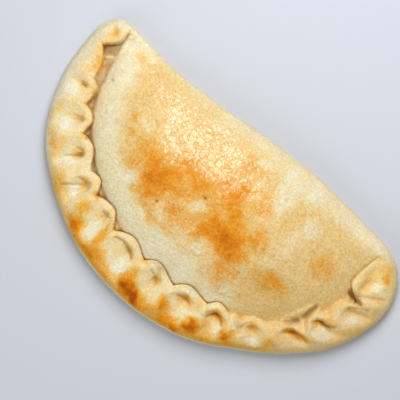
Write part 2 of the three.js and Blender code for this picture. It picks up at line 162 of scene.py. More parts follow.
# ---- Creases: depth (negative for a raised fold), width, and the points of the line ----
CREASES = [
    (-1.2, 2.0, [(84.5, 11), (82.3, 0), (76.5, -11)]),
    (2.2, 1.6, [(85.6, 8.5), (84.9, 0)]),
    (1.8, 1.6, [(83.2, -5), (79, -10.5)]),
    (1.2, 2.4, [(74.5, -12.5), (57, -25.5)]),
    (3.2, 1.7, [(96, 27.5), (104, 26.5)]),
    (0.9, 1.6, [(100, 30), (113, 36)]),
    (-1.3, 2.4, [(101.5, 33.5), (108, 42)]),
    (2.0, 3.0, [(99.8, 33.5), (97.8, 45)]),
    (1.4, 1.6, [(3, -38), (7.5, -42.5)]),
    (1.3, 1.6, [(56.7, -26.5), (62, -33.5)]),
]
FINE_CREASES = [
    (-0.8, 0.8, [(-43, -31.5), (-36.7, -32), (-33, -40)]),
    (1.0, 0.75, [(-43.5, -34), (-38, -34.3), (-35.5, -41)]),
    (1.5, 0.8, [(-28.4, -40.1), (-23.8, -38.8), (-19.7, -39.8), (-16.5, -40.8), (-13.5, -43.5)]),
    (1.2, 0.8, [(0, -40.4), (4.3, -42.1), (6.9, -45.5)]),
    (1.2, 0.8, [(21.7, -40.8), (26.3, -38.8), (29.6, -40.8)]),
    (1.6, 0.85, [(42.2, -38.9), (44.1, -34.6), (47.9, -33.7), (51.7, -37.5)]),
    (0.8, 0.75, [(-102.8, 12.7), (-102.7, 14.6), (-100.5, 13.6)]),
    (0.8, 0.75, [(-95, -3.3), (-90.5, -1.6), (-89.8, -0.4)]),
    (1.0, 0.75, [(-80.4, -16.2), (-76.8, -15.4), (-75.4, -17.8), (-82.9, -24.8)]),
    (1.0, 0.75, [(-67.3, -28.7), (-62.8, -27.7), (-62.6, -29.9), (-72.3, -38)]),
    (1.0, 0.8, [(61.5, -30.8), (61.3, -26.7), (63.7, -23.8)]),
    (1.4, 0.85, [(81.9, -15.3), (85.9, -11.7), (91.9, -10.5), (95.7, -11.5)]),
    (1.3, 0.85, [(89.8, -0.2), (92.5, 3.2), (96.8, 3.2), (102.6, 6.3)]),
    (1.1, 0.85, [(100.3, 20), (103.5, 22.8), (110.1, 26.6)]),
    (1.4, 0.7, [(76.8, -11.2), (81.4, -8.3), (83.2, -5.5)]),
    (0.9, 0.7, [(83.8, -1.4), (85.1, 2.7), (86.4, 8.1)]),
    (0.8, 0.75, [(98.9, 28), (104.8, 32.6), (113, 37.8)]),
    (1.6, 0.75, [(95.1, 27.4), (98, 26.5), (99.2, 27.6), (103.9, 26.3)]),
    (1.4, 0.7, [(98, 26.5), (98.7, 24.2)]),
    (1.6, 0.75, [(-94.5, 15), (-93.8, 13.6)]),
    (1.6, 0.75, [(-80.3, -7.2), (-79.6, -8.6)]),
    (1.6, 0.75, [(-53.2, -29.2), (-51.8, -30)]),
    (-1.2, 0.9, [(-106.6, 32), (-100.6, 37)]),
    (-0.7, 1.4, [(-101.2, 25), (-102.2, 31)]),
    (1.3, 1.2, [(-104.8, 36.8), (-103.2, 38.6)]),
    (1.1, 1.0, [(-100.2, 29.4), (-99.4, 31.6)]),
]

# ---- Mesh ----
STEP = 0.64
WALL_ROWS = 8
RIM_ROWS = 26
RIM_ROW_GROWTH = 1.15
LIP_ROWS = 17
LIP_ROWS_SPAN = (8.0, 2.2)  # behind the lip and past it
LIP_ROWS_START = 1.5  # the least inset they start at
FOOT_ROWS = 8
FOOT_GAP = 1.9
FOOT_OVERLAP = 3.0
FOLD_INSET = 12.0
RING_CENTRE_Y = 14.0
RING_POWER = 0.85
RING_SPAN = 52.0  # about how far the belly's rings run, from its foot to its middle
RING_LAST = 0.96
RING_SHARE_LIMIT = 0.97
RING_THINNING = (0.8, 0.9)
RING_FEWEST = 10
RING_INSET = 50.0
TOP_INSET = 90.0
BASE_INSET = -9.0

# ---- Browning: steps of depth, and how far a patch is paler than the dough round it ----
FAINT = 0.07
LIGHT = 0.13
GOLDEN = 0.20
BROWN = 0.31
DEEP = 0.41
DARK = 0.56
PALE = -0.08
WHITE = -0.14

# ---- Browned and pale patches: x, y, half length, half width, turn in degrees and step ----
BELLY_PATCHES = [
    # the broad brown patch left of the middle, with its arms
    (-33, 0, 9, 9, 0, DEEP),
    (-34, 8, 15, 8, 0, LIGHT),
    (-47, 12, 10, 7, 0, LIGHT),
    (-25, 14, 7, 6, 0, GOLDEN),
    (-23, 22, 8, 5, 0, LIGHT),
    (-13, 15, 9, 6, 0, GOLDEN),
    (-15, 6, 8, 4, 0, LIGHT),
    (-20, 3, 6, 4, 0, LIGHT),
    (-13, -6, 12, 6, 0, GOLDEN),
    (-29, -12, 8, 7, 60, LIGHT),
    (-22, -17, 8, 3, -10, LIGHT),
    (-10, -17, 5, 3, 0, LIGHT),
    (-39, -11, 3, 3, 0, LIGHT),
    (-50, 0, 7, 4, 20, LIGHT),
    # the second brown patch, right of the middle, and the way up from it
    (21, 1, 10, 7, 0, DEEP),
    (17, 2, 14, 9, 0, GOLDEN),
    (7, 3, 6, 10, 0, GOLDEN),
    (0, 0, 5, 4, 0, LIGHT),
    (5, -8, 3, 5, 0, GOLDEN),
    (0, 11, 3, 3, 0, LIGHT),
    (17, 15, 5, 6, 0, GOLDEN),
    (24, 17, 4, 3, 0, FAINT),
    (25, 11, 6, 4, 0, GOLDEN),
    (33, 14, 4, 9, 10, GOLDEN),
    (40, 14, 2, 5, 20, LIGHT),
    (34, -1, 4, 4, 0, LIGHT),
    (30, -12, 7, 9, 20, GOLDEN),
    (25, -28, 5, 9, 30, FAINT),
    (10, 18, 7, 13, 15, GOLDEN),
    (10, 32, 4, 4, 0, GOLDEN),
    (24, 28, 8, 4, 30, LIGHT),
    (4, 40, 7, 12, -10, LIGHT),
    (-1, 22, 14, 10, 0, LIGHT),
    (20, 34, 7, 6, 0, FAINT),
    # golden spots on the right, and freckles along the left and the fold
    (57, 2, 6, 5, 0, LIGHT),
    (55, 0, 14, 7, 0, LIGHT),
    (72, 28, 9, 8, 0, LIGHT),
    (-87, 47, 4, 4, 0, LIGHT),
    (-67, 20, 3, 3, 0, LIGHT),
    (-62, 12, 3, 3, 0, LIGHT),
    (-40, 38, 8, 5, 0, FAINT),
    (-22, 31, 22, 11, -25, FAINT),
    # pale gaps
    (-5, 6, 5, 5, 0, PALE),
    (31, 40, 6, 14, 0, WHITE),
    (50, 28, 5, 14, 0, PALE),
    (10, -13, 5, 4, 0, PALE),
    (38, -18, 7, 4, -40, WHITE),
    (24, 50, 3, 9, 0, PALE),
    (42, 52, 5, 6, 0, PALE),
    (7, 50, 5, 3, 0, WHITE),
    (-20, -9, 5, 3, -45, WHITE),
    (-34, 4, 2.5, 2.5, 0, PALE),
    (-46, -7, 3, 3, 0, WHITE),
    (-20, 14, 3, 3, 0, WHITE),
    (10, 10, 4, 4, 0, WHITE),
    (48, 6, 5, 5, 0, PALE),
    (-27, 47, 8, 3, 0, PALE),
    (53, 41, 6, 5, 0, PALE),
    (45, -25, 7, 3, 25, PALE),
    (-58, 21, 5, 4, 0, PALE),
]
RIM_PATCHES = [
    # the left end and the gap behind it
    (-108, 48, 3, 4, 0, FAINT),
    (-108, 37, 3, 5, -20, LIGHT),
    (-103.5, 41, 2, 3, 0, DEEP),
    (-105, 38, 3, 4, 0, FAINT),
    (-102, 29, 4, 8, -15, LIGHT),
    (-101, 30, 5, 3, -65, FAINT),
    (-94, 15, 3, 5, 0, FAINT),
    (-92, 8, 4, 3, 0, LIGHT),
    (-82, -6, 4, 5, 0, LIGHT),
    # the outside of the rim, from the left round to the flap
    (-104, -8, 2.5, 6, 20, LIGHT),
    (-93, -20, 8, 5, -30, LIGHT),
    (-91, -26, 7, 3, -35, LIGHT),
    (-75, -39, 8, 5, -35, LIGHT),
    (-52, -51, 5.5, 3.5, -30, DEEP),
    (-54, -41, 4, 6, 0, GOLDEN),
    (-50, -46, 3, 3, 0, LIGHT),
    (-58, -35, 4, 3, 0, FAINT),
    (-42, -56, 9, 3, -18, LIGHT),
    (-34, -56, 5, 5, 0, GOLDEN),
    (-35, -46, 3, 7, 0, BROWN),
    (-29, -54, 3.5, 5, 20, LIGHT),
    (-20, -60, 9, 4, -8, LIGHT),
    (-1, -58, 8, 5, 0, DARK),
    (-8, -51, 4, 6, 20, BROWN),
    (8, -61, 8, 3, 5, LIGHT),
    (13, -57, 4, 3, 0, LIGHT),
    (17, -51, 4, 5, 0, DEEP),
    (22, -51, 3, 3, 0, LIGHT),
    (27, -56, 11, 4, 8, BROWN),
    (39, -49, 4.5, 4, 0, DARK),
    (44, -45, 3, 5, 20, LIGHT),
    (46, -51, 6, 3, 30, LIGHT),
    (58, -40, 5, 4, 20, DEEP),
    (80, -27, 5, 3, 40, LIGHT),
    (110, 10, 4, 7, -20, FAINT),
    (112, 24, 3, 6, -30, FAINT),
    # pits, notches and the lines along the lip: browner, partly the dough's own colour and partly painted
    # shade in these hollows
    (-78, -17, 3, 3, 0, FAINT),
    (-64, -28, 3, 3, 0, FAINT),
    (-53, -29, 3, 3, 0, GOLDEN),
    (-32, -35, 5, 3, -45, LIGHT),
    (-18, -40, 4, 2, -10, FAINT),
    (-8, -39, 4, 2, 20, GOLDEN),
    (6, -43, 4, 2, -50, FAINT),
    (25, -40, 5, 2.5, 0, LIGHT),
    (33, -38, 5, 4, 60, FAINT),
    (48, -35, 7, 3, 0, GOLDEN),
    (57, -22, 6, 3, 40, GOLDEN),
    (66, -25, 4, 3, 0, LIGHT),
    (90, -12, 9, 2.5, 12, GOLDEN),
    (94, 3, 8, 3, 30, LIGHT),
    (93, 20, 3, 7, 0, FAINT),
    (98, 27, 4, 2.5, 0, FAINT),
    # the flap
    (103, 50, 6, 4, -10, LIGHT),
    (106, 47, 3, 3, 0, GOLDEN),
    (99, 40, 3, 7, 0, FAINT),
    # the pale swell outside each thumb pit: less browned dough, and partly a painted highlight where it
    # faces the light
    (-106, 7, 4, 4, 0, WHITE),
    (-94, -12, 4, 5, 0, WHITE),
    (-80, -25, 4, 3, 0, WHITE),
    (-65, -36, 4, 3, 0, WHITE),
    (-42, -46, 3, 5, 0, WHITE),
    (-16, -51, 4, 6, 0, WHITE),
    (30, -46, 3, 3, 0, PALE),
    (25, -36, 5, 2, 20, PALE),
    (52, -42, 4, 3, 0, WHITE),
    (72, -31, 5, 3, 20, WHITE),
    (90, 3, 4, 2.5, 50, WHITE),
    (99, -2, 6, 3, 20, WHITE),
    (107, 16, 4, 3, 30, WHITE),
    (106, 38, 4, 3, 40, WHITE),
    (104, 31, 3, 2.5, 0, PALE),
    (-6, -62, 7, 2.5, 0, PALE),
]
# The same columns for shine, with the gloss in place of the step.
GLOSS_PATCHES = [
    (10, -27, 24, 6, 10, 0.5),
    (28, 45, 7, 5, 0, 0.5),
    (58, 50, 8, 4, 0, 0.5),
    (48, 30, 6, 16, 0, 0.3),
    (-60, -10, 12, 4, -60, 0.25),
]
# Pinholes, drawn dark as painted shade inside the small holes.
PINHOLES = [(-5, 12, 1.0), (-24.4, -8, 0.8), (-91, 27, 0.7), (38, -7, 0.6)]  # x, y and radius

# ---- Oiled film: x, and the share of the way out to the belly's foot that it reaches ----
FILM_REACH = np.array([(-100, 0.83), (-60, 0.77), (-20, 0.72), (18, 0.72), (35, 0.84), (50, 1.1)])
FILM_EDGE = (-0.06, 0.07)
FILM_THIN = 0.7
FILM_THIN_FROM = (46, 58)
FILM_GONE = 0.9  # of its gloss, where the crust is browner than BAKED_DRY
BAKED_DRY = (0.42, 0.60)

# ---- Browning between the patches ----
NOISE_GAIN = 1.6
NOISE_CELLS = (14, 6, 2.6, 1.3)  # coarse, middle, fine and grain
PATCH_STRAY = ((10, 2.2), (4, 1.4))  # cell and distance
PATCH_EDGE = (0.25, 1.55)  # a patch fades between these shares of its half length and width
BELLY_EDGE = (1.0, 3.0)  # past the lip
BELLY_TOAST = 0.13
BELLY_COARSE = 0.03
BELLY_ROUGH = (0.4, 0.3, 0.2)  # middle, fine and grain
FILM_TOAST = 0.14
BELLY_RIGHT_TOAST = -0.01
BELLY_RIGHT_FROM = (30, 60)
BELLY_EASED = (0.56, 0.65)  # browning past the first counts for less, by the second
# Paler along the flank's streaks: partly pale dough, partly a painted highlight for their glints.
FLANK_STREAK_PALE_AND_HIGHLIGHT = 0.05
STREAK_STRETCH = 4.5
STREAK_CELL = 1.4
RIM_TOAST = 0.195
RIM_UNEVEN = 0.03
RIM_ROUGH = (0.2, 0.15)  # middle and fine
RIM_RIGHT_TOAST = 0.03
RIM_RIGHT_FROM = (50, 80)
RIM_EASED = (0.70, 0.35)
WALL_REACH = (2, 11)
# Browner along the bottom of the outer wall: partly browning, partly painted shade on the wall turned from
# the light.
WALL_BOTTOM_BROWNING_AND_SHADE = 0.12
WALL_BOTTOM_STATIONS = (100, 150, 270, 320)
WALL_LEFT = -0.08
WALL_LEFT_STATIONS = (100, 150)
SKIRT_STATIONS = (150, 190, 290, 330)
SKIRT_LINE = (0.1, 2.2, 1.6)  # amount, inset and width of the darker line over the pale skirt, partly browning and partly painted shade
SKIRT_TOAST = 0.09
SKIRT_INSET = 0.8
SKIRT_SHARE = 0.9
# Painted warm shade: the pits and the dough round them drawn more golden.
PIT_WARM_SHADE = 0.06
PIT_HALO = 2.2
FULL_PIT = 3.0  # a pit this deep gets the painted shade in full
PIT_BEFORE = 0.6
PIT_SHADE_SPAN = (0.9, 2.2)  # half widths, along the rim in shares of the pit's own, and in from the lip
PIT_SHADE_BACK = 1.4
FINE_TOAST = 0.02
GRAIN_TOAST = 0.015
TOAST_LIMITS = (0.03, 0.85)

# ---- Painted shade in the deep places, the pinholes and on the right of the rim ----
SHADE_PATCHY = ((9, 0.9), (3, 0.5))
SHADE_PATCHY_LIMITS = (0.2, 1.6)
GAP_SHARE = (0.97, 1.0)  # of the way out to the belly's foot
GAP_PAST_LIP = (0.3, 1.4)
GAP_STATIONS = (150, 230)
GAP_SHADE = (0.5, 0.3)  # steady, and patchy
SLOT_SHADE = 0.6
SLOT_SHADE_WIDTH = 0.8
PIT_SHADE = 0.1
RAISED_SHADE = 0.75  # the share of the shade that a raised strand is without
CREASE_SHADE = 0.65
NARROW_CREASE = 2.0
FULL_CREASE = (2.4, 1.5)  # depths at which a crease and a fine crease are in full shade
# Painted shade along the right of the rim, the side turned away from the light.
RIGHT_SHADE = 0.15
RIGHT_SHADE_FROM_X = (45, 80)
RIGHT_SHADE_FROM_Y = (26, 36)
RIGHT_SHADE_BACK = (-1, 2)
PIN_SHADE = 1.6
SHADE_LIMIT = 1.8

# ---- Relief past the solid's own form: cell and height of each noise ----
RELIEF_UP_FROM = (1.0, 5.0)
RELIEF_BELLY_EDGE = (1.0, 4.0)
LUMPS = ((17, 0.35), (7, 0.16))
GRAIN = ((2.8, 0.07), (1.5, 0.04))
WRINKLES = ((4.2, 0.13), (2.3, 0.06))
WRINKLE_STRAY = (7, 2.2)
PULLS = (2.4, 0.20)
PULL_STRETCH = 5.0
PULLS_FROM = (6, 12)
STREAK_HEIGHT = 0.10


def smooth(x, a, b):
    t = np.clip((x - a) / (b - a), 0, 1)
    return t * t * (3 - 2 * t)


def bell(x, width):
    return np.exp(-((x / width) ** 2))


def mix(a, b, t):
    return a * (1 - t) + b * t


def band(x, stations):
    start, full, fading, gone = stations
    return smooth(x, start, full) - smooth(x, fading, gone)


def smooth_max(a, b, rounding):
    return (a + b + np.hypot(a - b, rounding)) / 2


def gradient_noise(points, cell, seed):
    """Smooth noise, about -1 to 1, at rows of 3-D points, with bumps about one cell across."""
    rng = np.random.default_rng(seed)
    table = rng.permutation(256)
    slopes = rng.normal(size=(256, 3))
    slopes /= np.linalg.norm(slopes, axis=1, keepdims=True)
    scaled = points / cell
    base = np.floor(scaled).astype(int)
    within = scaled - base
    ease = within**3 * (within * (within * 6 - 15) + 10)
    total = np.zeros(len(points))
    for corner in np.ndindex(2, 2, 2):
        place = base + corner
        pick = table[(table[(table[place[:, 0] & 255] + place[:, 1]) & 255] + place[:, 2]) & 255]
        weight = np.prod(np.where(np.array(corner) == 1, ease, 1 - ease), axis=1)
        total += weight * np.sum(slopes[pick] * (within - corner), axis=1)
    return total * NOISE_GAIN


def layered(points, layers, first_seed):
    """The sum of noises given as cell and amount, with seeds that count up from the first."""
    seeded = enumerate(layers, first_seed)
    return sum(amount * gradient_noise(points, cell, seed) for seed, (cell, amount) in seeded)


# ---- Outline ----
def outline_points():
    """The closed centripetal Catmull-Rom curve through OUTLINE, at equal steps of its parameter."""
    count = len(OUTLINE)
    parameter = count * np.arange(OUTLINE_STEPS + 1) / OUTLINE_STEPS
    knot = np.floor(parameter).astype(int)
    t = (parameter - knot)[:, None]
    p0, p1, p2, p3 = (OUTLINE[(knot + k) % count] for k in (-1, 0, 1, 2))
    pairs = ((p0, p1), (p1, p2), (p2, p3))
    d0, d1, d2 = (np.linalg.norm(b - a, axis=1)[:, None] ** 0.5 for a, b in pairs)
    slope1 = ((p1 - p0) / d0 - (p2 - p0) / (d0 + d1) + (p2 - p1) / d1) * d1
    slope2 = ((p2 - p1) / d1 - (p3 - p1) / (d1 + d2) + (p3 - p2) / d2) * d1
    cubic = (2 * p1 - 2 * p2 + slope1 + slope2) * t**3
    return p1 + slope1 * t + (-3 * p1 + 3 * p2 - 2 * slope1 - slope2) * t**2 + cubic


CURVE = outline_points()
CURVE_STATIONS = np.r_[0, np.cumsum(np.linalg.norm(np.diff(CURVE, axis=0), axis=1))]
OUTLINE_LENGTH = CURVE_STATIONS[-1]
RIM_LENGTH = CURVE_STATIONS[RIM_END_KNOT * OUTLINE_STEPS // len(OUTLINE)]
FOLD_LINE = np.vstack([OUTLINE[RIM_END_KNOT:], OUTLINE[:1]])[::-1]


def edge_at(station):
    station = np.mod(station, OUTLINE_LENGTH)
    return np.stack([np.interp(station, CURVE_STATIONS, CURVE[:, axis]) for axis in (0, 1)], -1)


def rim_share(station):
    """How much of the rim's section there is: 1 along the rim, and 0 along the folded edge."""
    past = np.minimum(station - RIM_LENGTH, OUTLINE_LENGTH - station)
    return 1 - smooth(past, 0, RIM_FADE)


def seam_share(station):
    """How much of the seam's relief there is: the lip, the notches, the pits and the groove."""
    start, end = (RIM_LENGTH - before for before in SEAM_LAST)
    return smooth(station, *SEAM_START) * (1 - smooth(station, start, end))


def crimped_share(station):
    return smooth(station, *RIM_START) * (1 - smooth(station, RIM_LENGTH - RIM_LAST, RIM_LENGTH))


# ---- Belly ----
def outward_share(x, y):
    """How far out a place lies on the belly: 0 in its middle, and 1 at its foot."""
    half_length = np.where(x > 0, BELLY_RIGHT, BELLY_LEFT + LEFT_FLARE * smooth(y, *LEFT_FLARE_FROM))
    depth = BELLY_DEPTH + RIGHT_DEEPER * smooth(x, *DEEPER_FROM)
    return np.hypot(x / half_length, np.minimum(0, y - BELLY_CENTRE_Y) / depth)


def belly_height(x, y):
    depth = np.clip((np.interp(x, FOLD_LINE[:, 0], FOLD_LINE[:, 1]) - y) / FOLD_ROUNDING, 0, 1)
    over_fold = np.sqrt(1 - (1 - depth) ** 2)
    inside = np.maximum(0, 1 - outward_share(x, y) ** 2)
    edge_share = mix(*FLANK_EDGE_SHARE, smooth(x, *DEEPER_FROM))
    over_flank = mix(inside, 1 - np.exp(-inside / FLANK_EDGE_WIDTH), edge_share)
    lumps = np.sin(x / 17 + 1) * np.cos(y / 13 + 2) + np.sin(x / 29 - y / 23 + 0.5)
    corner = CORNER_RISE * smooth(y, *CORNER_FROM_Y) * smooth(np.abs(x), *CORNER_FROM_X)
    foot = BELLY_FOOT + FOOT_RISE * smooth(x, *FOOT_RISE_FROM) + corner
    rise = (BELLY_TOP - foot) / CROWN_SHARE + BELLY_UNEVEN * lumps
    return foot + rise * over_fold * over_flank


def foot_inset(edge, inward):
    """The inset at which the belly's foot lies, found by halving."""
    outside, inside = np.zeros(len(edge)), np.full(len(edge), FOOT_SEARCH)
    for _ in range(FOOT_HALVINGS):
        middle = (outside + inside) / 2
        x, y = (edge + inward * middle[:, None]).T
        out = outward_share(x, y) > 1
        outside, inside = np.where(out, middle, outside), np.where(out, inside, middle)
    return inside


# ---- Rim ----
def lip_at(station):
    """The inset of the lip's edge, and how far up its arch it is, from 0 in a notch to 1 at a crest."""
    index = np.minimum(np.searchsorted(CRIMPS[:, 2], station, side="right"), len(CRIMPS) - 1)
    ends = np.r_[FIRST_NOTCH[0], CRIMPS[:, 2]]
    notches = np.r_[FIRST_NOTCH[1], CRIMPS[:, 3]]
    at, reach = CRIMPS[index, 0], CRIMPS[index, 1]
    nearest = np.where(station < at, index, index + 1)
    along = np.clip((station - ends[nearest]) / (at - ends[nearest]), 0, 1)
    arch = np.sin(along * np.pi / 2)
    falling = np.where(index == len(CRIMPS) - 1, FLAP_CURVE, LIP_CURVE[1])
    return arch, mix(notches[nearest], reach, arch ** np.where(station < at, LIP_CURVE[0], falling))


def crimp_hollows(row, station, inset, back):
    """How deep one crimp's trough and pit are, less the fold at its end."""
    _, _, end, _, lean, _, _, pit_at, pit, pit_half, pit_back, trough, before, after = row
    leaned = station - lean * np.maximum(0, 1 - inset / (inset + back))
    along = leaned - pit_at
    near_wall = smooth(inset, *NEAR_WALL)
    sharp_from, sharp_to = (pit_back + distance for distance in TROUGH_SHARP_TO)
    sharp = mix(*TROUGH_SHARPNESS, smooth(back, sharp_from, sharp_to))
    cross = np.exp(-(np.hypot(along, sharp) - sharp) / np.where(along > 0, after, before))
    start, full = (pit_back + distance for distance in TROUGH_START)
    hollow = trough * cross * near_wall * smooth(back, start, full)
    length = np.where(back < pit_back, *PIT_LENGTH)
    hollow = hollow + PIT_KEPT * pit * bell(along, pit_half) * bell(back - pit_back, length)
    sunk = FOLD_FADE_SHARE * smooth(-back, -FOLD_FADE, 0)
    return hollow - FOLD_RISE * bell(leaned - end, FOLD_WIDTH) * near_wall * (1 - sunk)


def lip_crown(row, station, back):
    """How far one crimp's lip rises over the rim."""
    at, rise, half = row[0], row[5], row[6]
    behind = back - LIP_FRONT - LIP_CREST_BACK
    return rise * bell(station - at, LIP_LENGTH) * bell(behind, np.where(behind < 0, LIP_FRONT, half))


def rim_height(station, inset, rows_end):
    """Height of the rolled rim. Past its lip it drops to the floor of the groove."""
    _, lip = lip_at(station)
    seam = seam_share(station)
    back = lip - inset
    hollows = np.zeros(inset.shape)
    lip_rise = np.zeros(inset.shape)
    for row in CRIMPS:
        notch = NOTCH_CREASE * bell(station - row[2], NOTCH_WIDTH) * bell(back, NOTCH_LENGTH)
        hollows = hollows + crimp_hollows(row, station, inset, back) + notch
        lip_rise = np.maximum(lip_rise, lip_crown(row, station, back))
    height = RIM_TOP + seam * (lip_rise - hollows)
    ledge = band(station, LEDGE_STATIONS)
    face = smooth(inset, lip - LIP_FACE[0], lip + mix(LIP_FACE[1], LEDGE_FACE, ledge))
    height = mix(height, mix(GROOVE_FLOOR, LEDGE_FLOOR, ledge), seam * face)
    return mix(height, GROOVE_FLOOR, smooth(inset, lip + GROOVE_FROM, rows_end))


def pit_share(station, back, spread=1.0):
    """How much a place lies in a thumb pit, for the painted shade there. A wider spread takes in the dough
    round the pit.
    """
    total = np.zeros(station.shape)
    for row in CRIMPS:
        pit_at, pit, half, pit_back = row[7:11]
        deep = min(pit / FULL_PIT, 1) * bell(station - pit_at + PIT_BEFORE, spread * half * PIT_SHADE_SPAN[0])
        deep = deep * bell(back - pit_back + PIT_SHADE_BACK - spread, PIT_SHADE_SPAN[1] * spread)
        total = np.maximum(total, deep)
    return total


def crease_depth(x, y, creases):
    total = np.zeros(x.shape)
    for depth, width, path in creases:
        away = np.full(x.shape, np.inf)
        for (x0, y0), (x1, y1) in zip(path, path[1:]):
            run, climb = x1 - x0, y1 - y0
            along = np.clip(((x - x0) * run + (y - y0) * climb) / (run**2 + climb**2), 0, 1)
            away = np.minimum(away, np.hypot(x - x0 - along * run, y - y0 - along * climb))
        total += depth * bell(away, width)
    return total


# ---- Whole surface ----
class Sections:
    """What all the points at one station share, for an array of stations."""

    def __init__(self, station):
        self.station = station
        self.edge = edge_at(station)
        ahead = edge_at(station + TANGENT_REACH) - edge_at(station - TANGENT_REACH)
        ahead /= np.linalg.norm(ahead, axis=1, keepdims=True)
        self.normal = np.stack([-ahead[:, 1], ahead[:, 0]], -1)
        aim = np.stack([self.edge[:, 0] * AIM_SHARE, np.full(len(station), BELLY_CENTRE_Y)], -1) - self.edge
        self.inward = aim / np.linalg.norm(aim, axis=1, keepdims=True)
        crimped = crimped_share(station)
        self.lip = mix(FOLD_INSET, lip_at(station)[1], crimped)
        crest = mix(FOLD_INSET, np.interp(station, CRIMPS[:, 0], CRIMPS[:, 1]), crimped)
        foot = foot_inset(self.edge, self.inward)
        self.rows_end = np.maximum(foot, crest + FOOT_GAP) + FOOT_OVERLAP
        self.share = rim_share(station)


def wall_points(sections, up_share):
    angle = up_share * np.pi / 2
    undercut = mix(UNDERCUT[1], UNDERCUT[0], sections.share)
    flat = sections.edge + sections.normal * (undercut * (1 - math.sin(angle)))[:, None]
    height = mix(BULGE[1], BULGE[0], sections.share) * (1 - math.cos(angle))
    return np.column_stack([flat, height])


def top_points(sections, inset):
    """Points of the upper surface. The lip's crown leans in over the groove by the overhang."""
    seam = seam_share(sections.station)
    overhang = LIP_OVERHANG * seam * bell(inset - sections.lip + OVERHANG_BACK, OVERHANG_WIDTH)
    flat = sections.edge + sections.inward * (inset + overhang)[:, None]
    x, y = flat.T
    rim = rim_height(sections.station, inset, sections.rows_end) * sections.share
    belly = belly_height(x, y)
    height = np.where(sections.share > 0, smooth_max(belly, rim, CREASE_ROUNDING), belly)
    slot = SLOT_DEPTH * seam * (1 - band(sections.station, SLOT_GAP))
    height = height - slot * bell(inset - sections.lip - SLOT_AT, SLOT_WIDTH)
    height = height - crease_depth(x, y, CREASES + FINE_CREASES)
    shoulder = mix(SHOULDER[1], SHOULDER[0], sections.share)
    rounding = np.sqrt(1 - (1 - np.clip(inset / shoulder, 0, 1)) ** 2)
    bulge = mix(BULGE[1], BULGE[0], sections.share)
    return np.column_stack([flat, mix(bulge, height, rounding)])


def belly_points(sections, in_share):
    x, y, _ = top_points(sections, sections.rows_end).T
    x = x * (1 - in_share) ** RING_POWER
    y = mix(y, RING_CENTRE_Y, in_share)
    return np.column_stack([x, y, belly_height(x, y)])


def row_insets(sections):
    """Insets of the rows from the widest line to just up the belly, one array for each row."""
    lip_start = np.maximum(sections.lip - LIP_ROWS_SPAN[0], LIP_ROWS_START)
    lip_end = sections.lip + LIP_ROWS_SPAN[1]
    rows = [lip_start * (row / RIM_ROWS) ** RIM_ROW_GROWTH for row in range(1, RIM_ROWS + 1)]
    rows += [mix(lip_start, lip_end, row / LIP_ROWS) for row in range(1, LIP_ROWS + 1)]
    rows += [mix(lip_end, sections.rows_end, row / FOOT_ROWS) for row in range(1, FOOT_ROWS + 1)]
    return rows


def even_stations(count):
    return np.arange(count) / count * OUTLINE_LENGTH


def belly_rings(outer_count):
    """Rings over the belly's middle. They have fewer vertices the further in they lie."""
    rings = []
    share = 0.0
    while share < RING_LAST:
        share += STEP / RING_SPAN
        count = int(outer_count * RING_THINNING[0] * (1 - share) ** RING_THINNING[1])
        sections = Sections(even_stations(max(RING_FEWEST, count)))
        points = belly_points(sections, min(share, RING_SHARE_LIMIT))
        rings.append((sections.station, points, sections.rows_end + RING_INSET * share))
    return rings


def build_surface():
    """Vertices, faces, and each vertex's station and inset.

    The rings run from the base's edge up the wall and over the top. Two fans close them, one in the middle
    of the belly and one in the middle of the base, where the insets only say which side a vertex is on.
    """
    count = int(OUTLINE_LENGTH / STEP)
    sections = Sections(even_stations(count))
    rings = []
    for row in range(WALL_ROWS + 1):
        rings.append((sections.station, wall_points(sections, row / WALL_ROWS), np.zeros(count)))
    for inset in row_insets(sections):
        rings.append((sections.station, top_points(sections, inset), inset))
    rings += belly_rings(count)
    starts = np.r_[0, np.cumsum([len(ring[0]) for ring in rings])]
    faces = []
    for index in range(len(rings) - 1):
        faces += join_rings(rings[index][0], starts[index], rings[index + 1][0], starts[index + 1])
    faces += fan(list(range(starts[-2], starts[-1])), starts[-1])
    faces += fan(list(range(starts[1] - 1, -1, -1)), starts[-1] + 1)
    top = belly_height(np.array([0.0]), np.array([RING_CENTRE_Y]))[0]
    points = np.vstack([ring[1] for ring in rings] + [(0, RING_CENTRE_Y, top), (0, 0, 0)])
    station = np.concatenate([ring[0] for ring in rings] + [[0, 0]])
    inset = np.concatenate([ring[2] for ring in rings] + [[TOP_INSET, BASE_INSET]])
    return points, faces, station, inset


def fan(loop, middle):
    """Triangles from a loop of vertices to the one in its middle."""
    return [(a, b, middle) for a, b in zip(loop, loop[1:] + loop[:1])]


def join_rings(outer, outer_start, inner, inner_start):
    """Faces between two rings: quads where they have the same stations, and otherwise triangles."""
    n, m = len(outer), len(inner)
    if n == m and np.allclose(outer, inner):
        return [
            (outer_start + k, outer_start + (k + 1) % n, inner_start + (k + 1) % n, inner_start + k)
            for k in range(n)
        ]
    faces = []
    outer_next = np.r_[outer[1:], OUTLINE_LENGTH, np.inf]
    inner_next = np.r_[inner[1:], OUTLINE_LENGTH, np.inf]
    i = j = 0
    while i < n or j < m:
        a, b = outer_start + i % n, inner_start + j % m
        if outer_next[i] <= inner_next[j]:
            i += 1
            faces.append((a, outer_start + i % n, b))
        else:
            j += 1
            faces.append((a, inner_start + j % m, b))
    return faces


# ---- Browning ----
def patch_sum(x, y, patches):
    total = np.zeros(x.shape)
    for patch_x, patch_y, half_length, half_width, turn, amount in patches:
        c, s = math.cos(math.radians(turn)), math.sin(math.radians(turn))
        u = ((x - patch_x) * c + (y - patch_y) * s) / half_length
        v = (-(x - patch_x) * s + (y - patch_y) * c) / half_width
        total += amount * (1 - smooth(np.hypot(u, v), *PATCH_EDGE))
    return total


